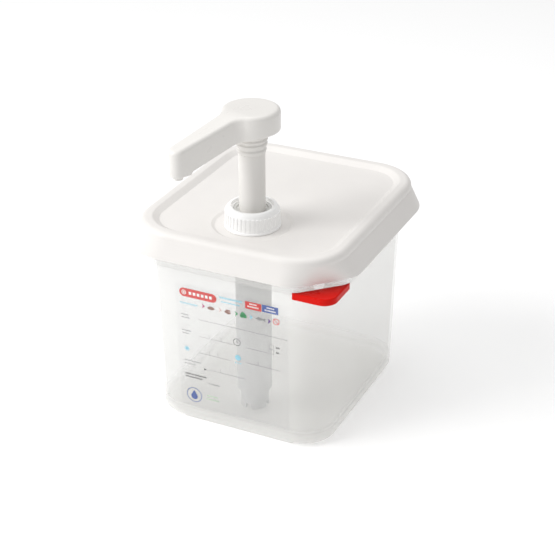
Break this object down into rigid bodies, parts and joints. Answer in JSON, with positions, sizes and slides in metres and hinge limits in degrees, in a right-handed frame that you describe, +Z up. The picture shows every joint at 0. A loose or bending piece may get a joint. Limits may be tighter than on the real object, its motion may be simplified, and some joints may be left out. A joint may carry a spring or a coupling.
{
  "type": "condiment pump dispenser",
  "caption": "Countertop sauce dispenser: translucent sixth-size food pan with a flared white lid that carries a screw-on push pump with a drooping swivel spout and a red clip-on colour tab.",
  "frame": {"origin": "centre of the pan's underside, on the surface it stands on", "axes": "+Z up along the pump's stroke, -Y towards the label and the spout, X across the pan's narrow width"},
  "size_m": [0.174, 0.2038, 0.245],
  "materials": {
    "frosted_plastic": "frosted translucent polypropylene",
    "label_film": "clear printed in-mould film",
    "red_plastic": "glossy moulded",
    "lid_plastic": "fine satin",
    "collar_plastic": "satin",
    "foam_gasket": "closed-cell foam",
    "cylinder_plastic": "natural polypropylene",
    "guide_plastic": "satin",
    "seal_rubber": "smooth",
    "stainless": "bright drawn stainless",
    "pump_plastic": "semi-gloss moulded"
  },
  "bodies": {
    "pan": {"container": "frosted_plastic", "front_label": "label_film"},
    "clip": {"colour_clip": "red_plastic"},
    "cover": {"lid": "lid_plastic"},
    "collar": {"closure_collar": "collar_plastic"},
    "pump_housing": {"pump_cylinder": "cylinder_plastic", "stem_guide": "guide_plastic", "stem_wiper": "seal_rubber", "closure_gasket": "foam_gasket", "foot_valve_body": "cylinder_plastic", "lower_ball_cage": "guide_plastic", "return_spring": "stainless"},
    "intake_ball": {"lower_check_ball": "stainless"},
    "plunger": {"piston": "guide_plastic", "piston_seal": "seal_rubber", "spring_washer": "stainless"},
    "head": {"pump_stem": "pump_plastic", "pump_head": "pump_plastic", "spout_tip": "pump_plastic", "upper_valve_seat": "guide_plastic", "upper_ball_stop": "guide_plastic"},
    "delivery_ball": {"upper_check_ball": "stainless"}
  },
  "joints": [
    {"name": "colour_clip_slide", "type": "slide", "parent": "pan", "child": "clip", "axis": [0.7071, -0.7071, 0], "range_m": [0, 0.016]},
    {"name": "lid_lift", "type": "slide", "parent": "pan", "child": "cover", "axis": [0, 0, 1], "range_m": [0, 0.155]},
    {"name": "collar_unscrew", "type": "hinge", "parent": "pump_housing", "child": "collar", "pos_m": [0, -0.044, 0.165], "axis": [0, 0, 1], "range_deg": [0, 450]},
    {"name": "pump_rise", "type": "slide", "parent": "cover", "child": "pump_housing", "axis": [0, 0, 1], "range_m": [0, 0.0053]},
    {"name": "pump_stroke", "type": "slide", "parent": "pump_housing", "child": "plunger", "axis": [0, 0, -1], "range_m": [0, 0.04], "stiffness_N_per_m": 160, "springref_m": -0.02, "deforming": ["return_spring"]},
    {"name": "spout_swivel", "type": "hinge", "parent": "plunger", "child": "head", "pos_m": [0, -0.044, 0.2], "axis": [0, 0, 1], "continuous": true},
    {"name": "lower_ball_lift", "type": "slide", "parent": "pump_housing", "child": "intake_ball", "axis": [0, 0, 1], "range_m": [0, 0.0025]},
    {"name": "upper_ball_lift", "type": "slide", "parent": "head", "child": "delivery_ball", "axis": [0, 0, 1], "range_m": [0, 0.0025]}
  ],
  "couplings": [
    {"joint": "pump_rise", "follows": "collar_unscrew", "m_per_rad": 0.000673}
  ]
}
